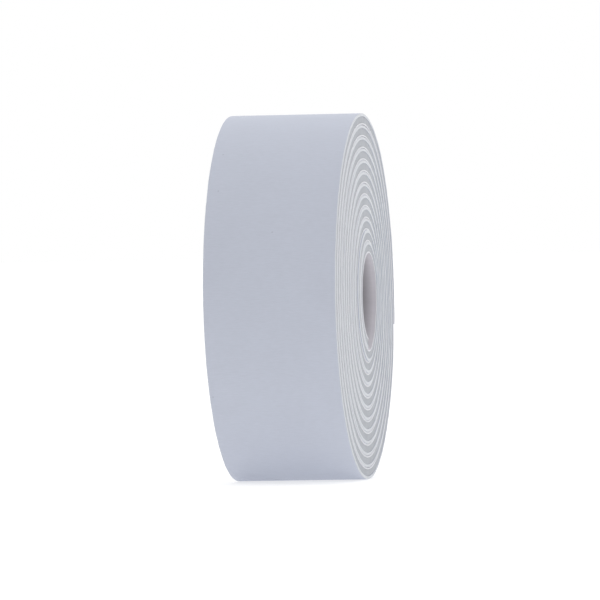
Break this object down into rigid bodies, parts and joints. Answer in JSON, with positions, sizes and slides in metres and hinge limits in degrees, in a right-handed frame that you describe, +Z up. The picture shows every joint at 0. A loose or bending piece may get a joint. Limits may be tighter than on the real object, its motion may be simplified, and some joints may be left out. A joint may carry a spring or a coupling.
{
  "type": "grip tape roll",
  "caption": "Upright roll of cushioned self-adhesive grip tape, wound tightly on itself with a small round bore and a free outer tail that peels open.",
  "frame": {"origin": "centre of the round bore, midway along the tape's width", "axes": "+X along the roll's axis, +Z up as the roll stands on its rim, +Y towards the side where the outer end lies"},
  "size_m": [0.03, 0.0834, 0.0827],
  "materials": {
    "skin": "matte smooth polyurethane skin",
    "foam": "matte closed-cell foam",
    "adhesive": "tacky adhesive coat",
    "liner": "satin release liner",
    "tab": "clear glossy film"
  },
  "bodies": {
    "roll": {"skin_wound": "skin", "foam_wound": "foam", "adhesive_wound": "adhesive", "liner_wound": "liner"},
    "tail_1": {"skin_tail_1": "skin", "foam_tail_1": "foam", "adhesive_tail_1": "adhesive", "liner_tail_1": "liner"},
    "tail_2": {"skin_tail_2": "skin", "foam_tail_2": "foam", "adhesive_tail_2": "adhesive", "liner_tail_2": "liner"},
    "tail_3": {"skin_tail_3": "skin", "foam_tail_3": "foam", "adhesive_tail_3": "adhesive", "liner_tail_3": "liner"},
    "tail_4": {"skin_tail_4": "skin", "foam_tail_4": "foam", "adhesive_tail_4": "adhesive", "closure_tab_base": "tab"},
    "liner_end": {"liner_tail_4": "liner"},
    "tab_flap": {"closure_tab_flap": "tab"}
  },
  "joints": [
    {"name": "tail_lift_1", "type": "hinge", "parent": "roll", "child": "tail_1", "pos_m": [0, 0.00725, 0.04113], "axis": [1, 0, 0], "range_deg": [0, 22.5]},
    {"name": "tail_lift_2", "type": "hinge", "parent": "tail_1", "child": "tail_2", "pos_m": [0, 0.02244, 0.03523], "axis": [1, 0, 0], "range_deg": [0, 22.5]},
    {"name": "tail_lift_3", "type": "hinge", "parent": "tail_2", "child": "tail_3", "pos_m": [0, 0.03421, 0.02396], "axis": [1, 0, 0], "range_deg": [0, 22.5]},
    {"name": "tail_lift_4", "type": "hinge", "parent": "tail_3", "child": "tail_4", "pos_m": [0, 0.04078, 0.00904], "axis": [1, 0, 0], "range_deg": [0, 22.5]},
    {"name": "liner_peel", "type": "hinge", "parent": "tail_4", "child": "liner_end", "pos_m": [0, 0.03848, 0.00853], "axis": [1, 0, 0], "range_deg": [-45, 0]},
    {"name": "tab_release", "type": "hinge", "parent": "tail_4", "child": "tab_flap", "pos_m": [0, 0.04113, -0.00725], "axis": [1, 0, 0], "range_deg": [0, 80]}
  ],
  "couplings": [
    {"joint": "tail_lift_2", "follows": "tail_lift_1", "ratio": 1},
    {"joint": "tail_lift_3", "follows": "tail_lift_1", "ratio": 1},
    {"joint": "tail_lift_4", "follows": "tail_lift_1", "ratio": 1},
    {"joint": "liner_peel", "follows": "tail_lift_1", "ratio": -2}
  ]
}
